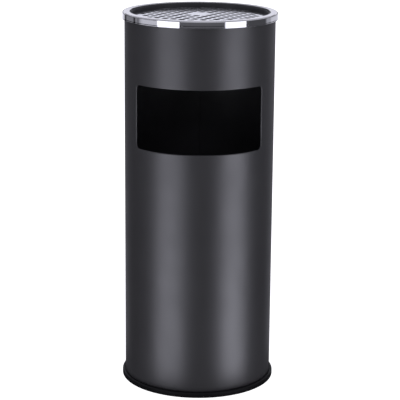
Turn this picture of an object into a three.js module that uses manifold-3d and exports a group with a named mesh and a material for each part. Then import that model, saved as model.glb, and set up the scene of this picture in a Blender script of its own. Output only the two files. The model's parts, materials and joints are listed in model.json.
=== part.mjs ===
// Ashtray bin: a rolled steel tube with a litter window near the top, a lift-out galvanised
// liner with a swinging bail, and a lift-off ash bowl under a bright rim, with a perforated grate.
// Millimetres, +Z up. The origin is the centre of the base on the floor; the window faces -Y.

import * as THREE from 'three';
import { mergeVertices } from 'three/addons/utils/BufferGeometryUtils.js';
import Module from 'manifold-3d';

const wasm = await Module();
wasm.setup();

// ---------------------------------------------------------------- driving dimensions

const HEIGHT = 610;
const BODY_RADIUS = 121;
const GAP = 0.3; // clearance kept between neighbouring pieces
const FACETS = 48; // sides of every large turned piece, so that their flats line up
const MERGE_TOLERANCE = 1e-4;

const SHELL = { wall: 1, hemReach: 1.7, hemDrop: 2.2, hemBend: 0.85 };

const WINDOW = { bottom: 400.6, top: 502.4, halfAngle: 54.8, corner: 8 };

const RING = {
  radius: 125.9,
  height: 8.8,
  crown: 2.8,
  footRound: 0.8,
  webThickness: 3,
  innerLegHeight: 6.6,
  innerLegThickness: 3.2
};

const PLATE = { sheet: 1, level: 14.5, emboss: 3, embossRadius: 95, bend: 2, flangeGap: 0.4 };

const LINER = {
  sheet: 0.8,
  radius: 108,
  height: 329.7,
  wireRadius: 1.4,
  curlSweep: 250,
  floorLevel: 5.1,
  floorGap: 0.6,
  floorBend: 2
};

const EAR = {
  sheet: 1.2,
  height: 19,
  bottom: 304.7,
  bridgeRadius: 111.3,
  bridgeHalfAngle: 3.2,
  footStartAngle: 4.4,
  footEndAngle: 8.4,
  rivetAngle: 6.4,
  pivotHoleRadius: 2.4
};

const RIVET = {
  shankRadius: 1.5,
  holeRadius: 1.8,
  headRadius: 3,
  headHeight: 1.6,
  tailRadius: 2.5,
  tailHeight: 0.8,
  facets: 12
};

const BAIL = {
  wireRadius: 2,
  radius: 116,
  restAngle: -17.5,
  pinEnd: 109.2,
  stopRadius: 3,
  stopLength: 1.6,
  facets: 10,
  arcSteps: 32
};

const RIM = {
  sheet: 0.8,
  radius: 124.3,
  skirtDrop: 11.4,
  shoulder: 1.5,
  lipRadius: 112.4,
  lipDrop: 1.5,
  lipBend: 0.7
};

const BOWL = {
  sheet: 0.8,
  flangeRadius: 121.6,
  flangeDrop: 2.2, // from the rim's flat top down to the middle of the flange
  wallRadius: 110.8,
  wallBend: 1.2,
  ledgeInnerRadius: 102.5,
  ledgeDrop: 6.2,
  ledgeBend: 1.8,
  panRadius: 94,
  panDrop: 45.4,
  panBend: 6
};

const GRATE = {
  sheet: 1,
  radius: 109.3,
  dome: 2.4,
  pitch: 15,
  latticeAngle: -29.1,
  latticeShift: [0.483, 0.332], // lattice origin off the disc centre, in pitches
  holeSide: 9.8,
  solidCentreRadius: 16,
  holeFieldRadius: 95
};

// ---------------------------------------------------------------- derived positions

const SHELL_BOTTOM = RING.webThickness + GAP;
const BOWL_FLANGE = -BOWL.flangeDrop; // both below the rim's flat top
const BOWL_LEDGE = BOWL_FLANGE - BOWL.ledgeDrop;
const SHELL_TOP = HEIGHT + BOWL_FLANGE - BOWL.sheet / 2 - GAP;
const LINER_BOTTOM = PLATE.level + PLATE.sheet / 2 + GAP;
const LINER_CURL_RADIUS = LINER.wireRadius + GAP + LINER.sheet / 2;
const LINER_CURL_CENTRE = new THREE.Vector2(
  LINER.radius - LINER.sheet / 2 + LINER_CURL_RADIUS,
  LINER.height - LINER_CURL_RADIUS - LINER.sheet / 2
);
const PIVOT_HEIGHT = EAR.bottom + EAR.height / 2;

// ---------------------------------------------------------------- materials

function finish(color, roughness, metalness) {
  return new THREE.MeshStandardMaterial({ color, roughness, metalness });
}

const darkPaint = () => finish(0x47464b, 0.45, 0.3);
const blackPaint = () => finish(0x101012, 0.6, 0.2);
const blackRubber = () => finish(0x151516, 0.7, 0);
const galvanised = () => finish(0x9ba1a5, 0.5, 0.9);
const zincWire = () => finish(0xb4b6b8, 0.35, 0.95);
const bowlEnamel = () => finish(0x2a2a2d, 0.4, 0.2);
const polishedSteel = () => finish(0xc8c7cc, 0.15, 1);
const satinSteel = () => finish(0xd6d5da, 0.3, 1);

// ---------------------------------------------------------------- geometry helpers

const radians = THREE.MathUtils.degToRad;

// A path of straight runs joined by bends. Each corner is [radius, height, bendRadius, steps].
function bentPath(corners) {
  const vertices = corners.map(([r, z]) => new THREE.Vector2(r, z));
  return corners.flatMap(([, , bend = 0, steps = 2], i) => {
    const corner = vertices[i];
    if (bend === 0) {
      return [corner];
    }
    const back = vertices[i - 1].clone().sub(corner).normalize();
    const ahead = vertices[i + 1].clone().sub(corner).normalize();
    const half = back.angleTo(ahead) / 2;
    const start = corner.clone().addScaledVector(back, bend / Math.tan(half));
    const centre = back.clone().add(ahead).setLength(bend / Math.sin(half)).add(corner);
    const sweep = Math.sign(ahead.cross(back)) * (Math.PI - 2 * half);
    return Array.from({ length: steps + 1 }, (_, k) =>
      start.clone().rotateAround(centre, (sweep * k) / steps));
  });
}

// The closed outline of a sheet of even thickness whose middle follows the path.
function sheetOutline(path, thickness) {
  const offset = (side) => path.map((point, i) => {
    const before = point.clone().sub(path[Math.max(i - 1, 0)]).normalize();
    const after = path[Math.min(i + 1, path.length - 1)].clone().sub(point).normalize();
    const along = before.clone().add(after).normalize();
    const stretch = 1 / along.dot(i === 0 ? after : before);
    const normal = new THREE.Vector2(along.y, -along.x);
    return point.clone().addScaledVector(normal, side * stretch * thickness / 2);
  });
  return [...offset(1), ...offset(-1).reverse()];
}

// Turns a profile of (radius, height) points, listed anticlockwise, about the Z axis.
function turned(profile, facets = FACETS) {
  const ends = [profile[0], profile[profile.length - 1]];
  const touchesAxis = ends.every((point) => point.x < MERGE_TOLERANCE);
  const points = touchesAxis ? profile : [...profile, profile[0]];
  return new THREE.LatheGeometry(points, facets).rotateX(Math.PI / 2);
}

function toManifold(geometry) {
  const plain = geometry.clone();
  plain.deleteAttribute('normal');
  plain.deleteAttribute('uv');
  const merged = mergeVertices(plain, MERGE_TOLERANCE);
  return new wasm.Manifold(new wasm.Mesh({
    numProp: 3,
    vertProperties: new Float32Array(merged.attributes.position.array),
    triVerts: new Uint32Array(merged.index.array)
  }));
}

function toGeometry(manifold) {
  const { vertProperties, triVerts } = manifold.getMesh();
  const geometry = new THREE.BufferGeometry();
  geometry.setAttribute('position', new THREE.BufferAttribute(vertProperties, 3));
  geometry.setIndex(new THREE.BufferAttribute(triVerts, 1));
  geometry.computeVertexNormals();
  return geometry;
}

function cut(geometry, cutters) {
  const solid = cutters.reduce((rest, tool) => rest.subtract(toManifold(tool)), toManifold(geometry));
  return toGeometry(solid);
}

function join(geometries) {
  const [first, ...others] = geometries.map(toManifold);
  return toGeometry(others.reduce((whole, piece) => whole.add(piece), first));
}

// A round bar along X from one x to another.
function barAlongX(radius, fromX, toX, facets) {
  const bar = new THREE.CylinderGeometry(radius, radius, Math.abs(toX - fromX), facets);
  return bar.rotateZ(Math.PI / 2).translate((fromX + toX) / 2, 0, 0);
}

function namedMesh(name, geometry, material) {
  const mesh = new THREE.Mesh(geometry, material);
  mesh.name = name;
  return mesh;
}

// ---------------------------------------------------------------- outer bin

// A block, curved round the Z axis, that covers the window's rounded rectangle.
function windowCutter() {
  const cornerSteps = 4;
  const plainSteps = 16;
  const halfWidth = radians(WINDOW.halfAngle) * BODY_RADIUS;
  const [near, far] = [BODY_RADIUS - 10, BODY_RADIUS + 10];

  // Stations from the window's left end to its right end, each with its inset at top and bottom.
  const rightEnd = Array.from({ length: cornerSteps }, (_, i) => {
    const turn = ((i + 1) / cornerSteps) * Math.PI / 2;
    const across = halfWidth - WINDOW.corner * (1 - Math.sin(turn));
    return { across, inset: WINDOW.corner * (1 - Math.cos(turn)) };
  });
  const leftEnd = rightEnd.map(({ across, inset }) => ({ across: -across, inset })).reverse();
  const plainHalf = halfWidth - WINDOW.corner;
  const plain = Array.from({ length: plainSteps + 1 }, (_, i) =>
    ({ across: plainHalf * ((2 * i) / plainSteps - 1), inset: 0 }));
  const stations = [...leftEnd, ...plain, ...rightEnd];

  const positions = stations.flatMap(({ across, inset }) => {
    const angle = across / BODY_RADIUS;
    const low = WINDOW.bottom + inset;
    const high = WINDOW.top - inset;
    return [[near, low], [far, low], [far, high], [near, high]].flatMap(([r, z]) =>
      [r * Math.sin(angle), -r * Math.cos(angle), z]);
  });
  const index = [0, 1, 2, 0, 2, 3];
  for (let station = 0; station < stations.length - 1; station += 1) {
    for (let side = 0; side < 4; side += 1) {
      const a = station * 4 + side;
      const b = station * 4 + ((side + 1) % 4);
      index.push(a, a + 4, b + 4, a, b + 4, b);
    }
  }
  const last = (stations.length - 1) * 4;
  index.push(last, last + 2, last + 1, last, last + 3, last + 2);

  const block = new THREE.BufferGeometry();
  block.setAttribute('position', new THREE.Float32BufferAttribute(positions, 3));
  block.setIndex(index);
  return block;
}

function outerShell() {
  const middle = BODY_RADIUS - SHELL.wall / 2;
  const top = SHELL_TOP - SHELL.wall / 2;
  const wall = bentPath([
    [middle, SHELL_BOTTOM],
    [middle, top, SHELL.hemBend],
    [middle + SHELL.hemReach, top, SHELL.hemBend],
    [middle + SHELL.hemReach, top - SHELL.hemDrop]
  ]);
  const tube = turned(sheetOutline(wall, SHELL.wall));
  return namedMesh('outer_shell', cut(tube, [windowCutter()]), darkPaint());
}

function bottomPlate() {
  const flange = BODY_RADIUS - SHELL.wall - PLATE.flangeGap - PLATE.sheet / 2;
  const disc = bentPath([
    [0, PLATE.level + PLATE.emboss],
    [PLATE.embossRadius - PLATE.emboss, PLATE.level + PLATE.emboss],
    [PLATE.embossRadius, PLATE.level],
    [flange, PLATE.level, PLATE.bend],
    [flange, RING.innerLegHeight + GAP]
  ]);
  return namedMesh('bottom_plate', turned(sheetOutline(disc, PLATE.sheet)), blackPaint());
}

// A rubber channel: the shell's bottom edge stands in the groove between its two legs.
function baseRing() {
  const grooveOuter = BODY_RADIUS + GAP;
  const grooveInner = BODY_RADIUS - SHELL.wall - GAP;
  const inside = grooveInner - RING.innerLegThickness;
  const channel = bentPath([
    [inside, 0],
    [RING.radius, 0, RING.footRound],
    [RING.radius, RING.height, RING.crown, 4],
    [grooveOuter, RING.height],
    [grooveOuter, RING.webThickness],
    [grooveInner, RING.webThickness],
    [grooveInner, RING.innerLegHeight],
    [inside, RING.innerLegHeight]
  ]);
  return namedMesh('base_ring', turned(channel), blackRubber());
}

// ---------------------------------------------------------------- liner, from its own bottom

function linerWall() {
  const middle = LINER.radius - LINER.sheet / 2;
  const curlStart = new THREE.Vector2(middle, LINER_CURL_CENTRE.y);
  const curlSteps = 8;
  const curl = Array.from({ length: curlSteps + 1 }, (_, i) =>
    curlStart.clone().rotateAround(LINER_CURL_CENTRE, -radians(LINER.curlSweep) * (i / curlSteps)));
  const tube = turned(sheetOutline([new THREE.Vector2(middle, 0), ...curl], LINER.sheet));
  const drills = [0, 180].flatMap((side) => [-1, 1].map((hand) => rivetDrill(side + hand * EAR.rivetAngle)));
  return namedMesh('liner_wall', cut(tube, drills), galvanised());
}

function linerRimWire() {
  const facets = 8;
  const section = Array.from({ length: facets }, (_, i) => {
    const angle = (i / facets) * 2 * Math.PI;
    const spoke = new THREE.Vector2(Math.cos(angle), Math.sin(angle));
    return spoke.multiplyScalar(LINER.wireRadius).add(LINER_CURL_CENTRE);
  });
  return namedMesh('liner_rim_wire', turned(section), zincWire());
}

function linerBottom() {
  const flange = LINER.radius - LINER.sheet * 1.5 - LINER.floorGap;
  const disc = bentPath([
    [0, LINER.floorLevel],
    [flange, LINER.floorLevel, LINER.floorBend],
    [flange, GAP]
  ]);
  return namedMesh('liner_bottom', turned(sheetOutline(disc, LINER.sheet)), galvanised());
}

// A radial drill for the rivet at this angle, long enough for the liner wall and an ear's foot.
function rivetDrill(angle) {
  const rivetHeight = EAR.bottom + EAR.height / 2;
  const drill = barAlongX(RIVET.holeRadius, LINER.radius - 5, LINER.radius + 5, RIVET.facets);
  return drill.rotateZ(radians(angle)).translate(0, 0, rivetHeight);
}

// A pressed saddle: two feet on the liner wall and a bridge between them with the pivot hole.
function linerEar(name, side) {
  const foot = LINER.radius + GAP;
  const halfOutline = [
    [EAR.footEndAngle, foot],
    [(EAR.footEndAngle + EAR.footStartAngle) / 2, foot],
    [EAR.footStartAngle, foot],
    [EAR.bridgeHalfAngle, EAR.bridgeRadius]
  ];
  const middle = [...halfOutline, ...halfOutline.map(([angle, r]) => [-angle, r]).reverse()];
  const path = middle.map(([angle, r]) => {
    const reach = r + EAR.sheet / 2;
    return new THREE.Vector2(reach, 0).rotateAround(new THREE.Vector2(), radians(angle));
  });
  const saddle = new THREE.ExtrudeGeometry(new THREE.Shape(sheetOutline(path, EAR.sheet)), {
    depth: EAR.height,
    bevelEnabled: false
  });
  saddle.translate(0, 0, EAR.bottom);
  const pivotHole = barAlongX(EAR.pivotHoleRadius, LINER.radius, LINER.radius + 10, RIVET.facets);
  pivotHole.translate(0, 0, PIVOT_HEIGHT);
  const drills = [rivetDrill(EAR.rivetAngle), rivetDrill(-EAR.rivetAngle)];
  const mesh = namedMesh(name, cut(saddle, [pivotHole, ...drills]), galvanised());
  mesh.rotation.z = radians(side);
  return mesh;
}

// A domed rivet, its axis along Z from the tail at z = 0 to the head.
function earRivet(name, angle) {
  const tailSide = LINER.radius - LINER.sheet - 2 * GAP;
  const headSide = LINER.radius + GAP + EAR.sheet + GAP;
  const gripLength = headSide - tailSide;
  const shankEnd = RIVET.tailHeight + gripLength;
  const profile = [
    [0, 0],
    [RIVET.tailRadius, 0],
    [RIVET.tailRadius, RIVET.tailHeight],
    [RIVET.shankRadius, RIVET.tailHeight],
    [RIVET.shankRadius, shankEnd],
    [RIVET.headRadius, shankEnd],
    [RIVET.headRadius * 0.8, shankEnd + RIVET.headHeight * 0.65],
    [0, shankEnd + RIVET.headHeight]
  ].map(([r, z]) => new THREE.Vector2(r, z));
  const mesh = namedMesh(name, turned(profile, RIVET.facets).rotateY(Math.PI / 2), zincWire());
  mesh.rotation.z = radians(angle);
  const tailEnd = new THREE.Vector2(tailSide - RIVET.tailHeight, 0);
  tailEnd.rotateAround(new THREE.Vector2(), radians(angle));
  mesh.position.set(tailEnd.x, tailEnd.y, PIVOT_HEIGHT);
  return mesh;
}

// Half a circle in the XY plane, from +X round by +Y to -X.
class HalfCircle extends THREE.Curve {
  constructor(radius) {
    super();
    this.radius = radius;
  }

  getPoint(t, target = new THREE.Vector3()) {
    const angle = t * Math.PI;
    return target.set(this.radius * Math.cos(angle), this.radius * Math.sin(angle), 0);
  }
}

function linerBail() {
  const section = new THREE.Shape(
    Array.from({ length: BAIL.facets }, (_, i) =>
      new THREE.Vector2(BAIL.wireRadius, 0).rotateAround(
        new THREE.Vector2(), (i / BAIL.facets) * 2 * Math.PI)));
  const arc = new THREE.ExtrudeGeometry(section, {
    steps: BAIL.arcSteps,
    extrudePath: new HalfCircle(BAIL.radius)
  });
  const ends = [-1, 1].flatMap((side) => {
    const pin = barAlongX(BAIL.wireRadius, side * BAIL.pinEnd, side * BAIL.radius, BAIL.facets);
    const elbow = new THREE.SphereGeometry(BAIL.wireRadius, BAIL.facets, BAIL.facets / 2);
    elbow.translate(side * BAIL.radius, 0, 0);
    const stopEnd = BAIL.pinEnd + BAIL.stopLength;
    const stop = barAlongX(BAIL.stopRadius, side * BAIL.pinEnd, side * stopEnd, BAIL.facets);
    return [pin, elbow, stop];
  });
  const mesh = namedMesh('liner_bail', join([arc, ...ends]), zincWire());
  mesh.position.z = PIVOT_HEIGHT;
  mesh.rotation.x = radians(BAIL.restAngle);
  return mesh;
}

function liner() {
  const group = new THREE.Group();
  group.position.z = LINER_BOTTOM;
  group.add(
    linerWall(),
    linerRimWire(),
    linerBottom(),
    linerEar('liner_ear_right', 0),
    linerEar('liner_ear_left', 180),
    earRivet('ear_rivet_right_front', -EAR.rivetAngle),
    earRivet('ear_rivet_right_rear', EAR.rivetAngle),
    earRivet('ear_rivet_left_front', 180 + EAR.rivetAngle),
    earRivet('ear_rivet_left_rear', 180 - EAR.rivetAngle),
    linerBail()
  );
  return group;
}

// ---------------------------------------------------------------- ashtray, down from the rim top

// The bright trim ring: a turned-down lip inside, a flat top and a skirt over the shell's edge.
function ashRim() {
  const top = -RIM.sheet / 2;
  const skirt = RIM.radius - RIM.sheet / 2;
  const pressing = bentPath([
    [RIM.lipRadius, -RIM.lipDrop],
    [RIM.lipRadius, top, RIM.lipBend],
    [skirt, top, RIM.shoulder],
    [skirt, -RIM.skirtDrop]
  ]);
  return namedMesh('ash_rim', turned(sheetOutline(pressing, RIM.sheet)), polishedSteel());
}

// The dark bowl under the ring: its flange lies on the shell's hem and its ledge takes the grate.
function ashBowl() {
  const pressing = bentPath([
    [0, BOWL_FLANGE - BOWL.panDrop],
    [BOWL.panRadius, BOWL_FLANGE - BOWL.panDrop, BOWL.panBend],
    [BOWL.ledgeInnerRadius, BOWL_LEDGE, BOWL.ledgeBend],
    [BOWL.wallRadius, BOWL_LEDGE, BOWL.wallBend],
    [BOWL.wallRadius, BOWL_FLANGE, BOWL.wallBend],
    [BOWL.flangeRadius, BOWL_FLANGE]
  ]);
  return namedMesh('ash_bowl', turned(sheetOutline(pressing, BOWL.sheet)), bowlEnamel());
}

// The centres of the grate's holes: a square lattice, kept off the centre and the border.
function grateHoleCentres() {
  const reach = Math.ceil(GRATE.radius / GRATE.pitch);
  const steps = Array.from({ length: 2 * reach + 1 }, (_, i) => i - reach);
  const [shiftA, shiftB] = GRATE.latticeShift;
  const centres = steps.flatMap((a) => steps.map((b) =>
    new THREE.Vector2(a + shiftA, b + shiftB)
      .multiplyScalar(GRATE.pitch)
      .rotateAround(new THREE.Vector2(), radians(GRATE.latticeAngle))));
  return centres.filter((centre) =>
    centre.length() > GRATE.solidCentreRadius && centre.length() < GRATE.holeFieldRadius);
}

function squareHole(centre) {
  const corners = [45, 135, 225, 315].map((turn) =>
    new THREE.Vector2(GRATE.holeSide / Math.SQRT2, 0)
      .rotateAround(new THREE.Vector2(), radians(turn + GRATE.latticeAngle))
      .add(centre));
  return new THREE.Path(corners);
}

function ashGrate() {
  const edge = Array.from({ length: FACETS }, (_, i) =>
    new THREE.Vector2(0, -GRATE.radius).rotateAround(new THREE.Vector2(), (i / FACETS) * 2 * Math.PI));
  const disc = new THREE.Shape(edge);
  disc.holes = grateHoleCentres().map(squareHole);
  const sheet = new THREE.ExtrudeGeometry(disc, { depth: GRATE.sheet, bevelEnabled: false });

  const position = sheet.attributes.position;
  for (let i = 0; i < position.count; i += 1) {
    const reach = Math.hypot(position.getX(i), position.getY(i)) / GRATE.radius;
    position.setZ(i, position.getZ(i) + GRATE.dome * (1 - reach * reach));
  }
  sheet.translate(0, 0, BOWL_LEDGE + BOWL.sheet / 2 + GAP);
  return namedMesh('ash_grate', sheet, satinSteel());
}

function ashtray() {
  const group = new THREE.Group();
  group.position.z = HEIGHT;
  group.add(ashRim(), ashBowl(), ashGrate());
  return group;
}

// ---------------------------------------------------------------- assembly

const ashtrayBin = new THREE.Group();
ashtrayBin.add(outerShell(), bottomPlate(), baseRing(), liner(), ashtray());

export default ashtrayBin;
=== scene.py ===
"""Looks for the ashtray bin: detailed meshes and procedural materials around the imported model.

Shapes are worked out in millimetres and written to the meshes in metres. Every mesh is closed, and
each one stands for the CAD node of the same part.
"""

import json
import math

import bpy
from mathutils import Matrix, Vector
from mathutils.geometry import delaunay_2d_cdt


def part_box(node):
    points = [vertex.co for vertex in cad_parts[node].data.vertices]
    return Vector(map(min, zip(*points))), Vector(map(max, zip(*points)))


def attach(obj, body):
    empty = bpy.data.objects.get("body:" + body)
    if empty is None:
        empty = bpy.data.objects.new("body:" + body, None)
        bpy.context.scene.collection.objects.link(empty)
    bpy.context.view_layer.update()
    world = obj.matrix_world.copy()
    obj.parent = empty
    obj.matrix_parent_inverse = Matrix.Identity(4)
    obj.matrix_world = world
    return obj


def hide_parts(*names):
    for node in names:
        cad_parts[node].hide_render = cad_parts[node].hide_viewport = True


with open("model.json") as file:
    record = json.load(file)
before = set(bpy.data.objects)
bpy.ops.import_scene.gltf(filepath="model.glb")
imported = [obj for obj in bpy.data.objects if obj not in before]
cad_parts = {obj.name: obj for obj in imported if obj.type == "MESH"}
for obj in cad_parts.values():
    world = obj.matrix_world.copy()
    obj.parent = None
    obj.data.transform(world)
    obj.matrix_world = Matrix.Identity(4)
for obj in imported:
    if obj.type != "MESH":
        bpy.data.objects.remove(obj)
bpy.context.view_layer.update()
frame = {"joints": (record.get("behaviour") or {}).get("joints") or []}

MM = 0.001

# ---------------------------- driving dimensions, mm and degrees

SHELL_WALL = 1.0
SHELL_HEM_REACH = 1.7
SHELL_HEM_DROP = 2.2

WINDOW_BOTTOM = 400.6
WINDOW_TOP = 502.4
WINDOW_HALF_ANGLE = 54.8
WINDOW_CORNER = 8.0
WINDOW_EDGE_RADIUS = 1.0  # the sheet is folded in round the window, which doubles its edge
WINDOW_FOLD_DEPTH = 7.0
WINDOW_MARGIN = 11.0  # plain sheet between the window's edge and the wall's regular grid

CORNER_STEPS = 6  # the shell's grid: steps round half a window corner, along its sides, and behind
ACROSS_STEPS = 54
UP_STEPS = 10
WALL_STEPS = 60
PAINTED_FOLD_STEPS = 9  # the paint goes this many loops in over the window's fold

SEAM_STEP = 0.7  # the rear lap: one edge lies over the other
SEAM_EASE = 16.0  # and lies flush again this far from the seam

RIM_SHEET = 0.8
BOWL_SHEET = 0.8
LINER_SHEET = 0.8
EAR_SHEET = 1.2
FLOOR_SHEET = 1.0

LIP_RADIUS = 112.4  # middle of the sheet in the bright ring's inner lip
LEDGE_DROP = 6.2  # from the bowl's flange to the ledge that carries the grate

GRATE_SHEET = 1.0
GRATE_DOME = 2.4
GRATE_BORDER = 103.0  # outside this radius the sheet is a flat cone
BORDER_SLOPE = 0.012
GRATE_PITCH = 15.0
GRATE_ANGLE = math.radians(-29.1)
GRATE_SHIFT = (0.483, 0.332)  # the lattice's origin off the centre, in pitches
HOLE_SIDE = 9.8
HOLE_CORNER = 2.4
HOLE_ROLL = 0.4  # the width of the rolled-over upper edge
HOLE_SECTION = (  # down a hole's wall: distance outside the hole, share of the sheet's thickness
    (0.3, 1.0), (0.2, 0.985), (0.08, 0.94), (0.02, 0.86), (0.0, 0.7), (0.0, 0.12), (0.12, 0.0),
)
RIM_SECTION = (  # down the outer edge: distance inside it, share of the sheet's thickness
    (0.25, 0.95), (0.05, 0.75), (0.0, 0.5), (0.05, 0.25), (0.25, 0.05),
)
HOLE_FIELD = 95.0  # holes have their centres inside this radius and outside the next
SOLID_CENTRE = 16.0

LINER_WALL_RADIUS = 108.0
LINER_GROOVES = (55, 75, 225, 245)  # heights above the liner's foot

BAIL_WIRE = 2.0  # radii of the wire and of its upset ends
BAIL_STOP = 3.0
BAIL_REST_ANGLE = -17.5  # the bail lies back and down by this much


def box_mm(node):
    """Lowest and highest corner of a CAD node, in millimetres."""
    low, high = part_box(node)
    return low / MM, high / MM


# ---------------------------- mesh helpers


def add_mesh(name, points, faces, materials, face_slots=None):
    """A smooth-shaded object from points in millimetres."""
    mesh = bpy.data.meshes.new(name)
    mesh.from_pydata([(x * MM, y * MM, z * MM) for x, y, z in points], [], faces)
    for material in materials:
        mesh.materials.append(material)
    if face_slots is not None:
        mesh.polygons.foreach_set("material_index", face_slots)
    mesh.polygons.foreach_set("use_smooth", [True] * len(mesh.polygons))
    mesh.validate()
    mesh.update()
    piece = bpy.data.objects.new(name, mesh)
    bpy.context.scene.collection.objects.link(piece)
    return piece


def dress(piece, body, slot, *nodes):
    """The piece rides on its body and stands for its CAD nodes; the slot argument is not used."""
    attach(piece, body)
    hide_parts(*nodes)
    return piece


def smoothstep(t):
    t = min(max(t, 0.0), 1.0)
    return t * t * (3 - 2 * t)


def spread(start, end, steps):
    """Evenly spaced values from start up to, but without, end."""
    return [start + (end - start) * k / steps for k in range(steps)]


def heading(turn):
    """The unit vector at this angle, in radians."""
    return Vector((math.cos(turn), math.sin(turn)))


def circle(sides):
    """Unit vectors round a full turn."""
    return [heading(2 * math.pi * k / sides) for k in range(sides)]


def bridge(outer, nearer):
    """Quads between two closed loops of point numbers."""
    count = len(outer)
    return [(outer[i], outer[(i + 1) % count], nearer[(i + 1) % count], nearer[i]) for i in range(count)]


def bent_path(corners, steps=8, support=0.35):
    """Straight runs joined by bends, as (radius, height) points.

    Each corner is (radius, height) or (radius, height, bend). Long straight runs get a support
    point near each end, so that smooth shading leaves them flat.
    """
    vertices = [Vector(corner[:2]) for corner in corners]
    path = []
    for i, corner in enumerate(corners):
        here = vertices[i]
        turn_points = [here]
        if len(corner) == 3:
            following = vertices[(i + 1) % len(vertices)]
            turn_points = bend_points(vertices[i - 1], here, following, corner[2], steps)
        if path:
            gap = turn_points[0] - path[-1]
            if gap.length > 3 * support:
                path.append(path[-1] + gap.normalized() * support)
                path.append(turn_points[0] - gap.normalized() * support)
        path += turn_points
    return path


def bend_points(before, here, after, bend, steps):
    """Points of the arc with this radius that rounds the corner here."""
    back = (before - here).normalized()
    ahead = (after - here).normalized()
    half = back.angle(ahead) / 2
    centre = here + (back + ahead).normalized() * (bend / math.sin(half))
    start = here + back * (bend / math.tan(half)) - centre
    turn = math.copysign(math.pi - 2 * half, ahead.x * back.y - ahead.y * back.x)
    arc = []
    for k in range(steps + 1):
        cos, sin = math.cos(turn * k / steps), math.sin(turn * k / steps)
        arc.append(centre + Vector((start.x * cos - start.y * sin, start.x * sin + start.y * cos)))
    return arc


def sheet_sides(path, thickness):
    """The two faces of a sheet whose middle follows the path: right of the path, then left."""
    right, left = [], []
    for i, point in enumerate(path):
        before = (point - path[max(i - 1, 0)]) if i else path[1] - point
        after = (path[i + 1] - point) if i < len(path) - 1 else before
        before, after = before.normalized(), after.normalized()
        along = (before + after).normalized()
        offset = Vector((along.y, -along.x)) * (thickness / 2 / along.dot(before))
        right.append(point + offset)
        left.append(point - offset)
    return right, left


def round_edge(centre, direction, thickness, steps=4):
    """Points round a sheet's cut edge, from its right face to its left one."""
    side = Vector((direction.y, -direction.x)) * thickness / 2
    nose = direction * thickness / 2
    turns = [math.pi * k / steps for k in range(1, steps)]
    return [centre + side * math.cos(t) + nose * math.sin(t) for t in turns]


def sheet_profile(path, thickness):
    """The closed outline, anticlockwise, of a sheet with rounded cut edges.

    A path that starts on the axis gives an outline that is open there.
    """
    right, left = sheet_sides(path, thickness)
    end = round_edge(path[-1], (path[-1] - path[-2]).normalized(), thickness)
    outline = right + end + left[::-1]
    if path[0].x > 0:
        outline += round_edge(path[0], (path[0] - path[1]).normalized(), thickness)
    return outline


def lathe(name, profile, material, segments=192, shaded_edge=None, is_shaded_edge=None):
    """Turns an anticlockwise (radius, height) outline about the Z axis.

    Faces whose middle (radius, height) passes the given edge test take the given edge material, dark
    steel that paints shade on the edges.
    """
    points, rings = [], []
    for radius, height in profile:
        if radius < 1e-6:
            rings.append([len(points)] * segments)
            points.append((0, 0, height))
            continue
        rings.append(list(range(len(points), len(points) + segments)))
        for k in range(segments):
            angle = 2 * math.pi * k / segments
            points.append((radius * math.cos(angle), radius * math.sin(angle), height))
    on_axis = profile[0][0] < 1e-6
    faces, slots = [], []
    for j in range(len(profile) - 1 if on_axis else len(profile)):
        low, high = rings[j], rings[(j + 1) % len(rings)]
        middle = (Vector(profile[j]) + Vector(profile[(j + 1) % len(profile)])) / 2
        slot = 1 if shaded_edge and is_shaded_edge(*middle) else 0
        for k in range(segments):
            n = (k + 1) % segments
            corners = [low[k], low[n], high[n], high[k]]
            faces.append(list(dict.fromkeys(corners)))
            slots.append(slot)
    return add_mesh(name, points, faces, [material, shaded_edge] if shaded_edge else [material], slots)


# ---------------------------- material helpers


class NodeTree:
    """The node tree of a material or of the world."""

    def __init__(self, owner):
        owner.use_nodes = True
        self.nodes = owner.node_tree.nodes
        self.links = owner.node_tree.links

    def link(self, output, node_input):
        self.links.new(output, node_input)

    def math(self, operation, first, second=None):
        """A Math node over two inputs, each a number or an output of another node."""
        node = self.nodes.new("ShaderNodeMath")
        node.operation = operation
        for slot, value in enumerate((first, second)):
            if isinstance(value, (int, float)):
                node.inputs[slot].default_value = value
            elif value is not None:
                self.link(value, node.inputs[slot])
        return node.outputs[0]


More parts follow.
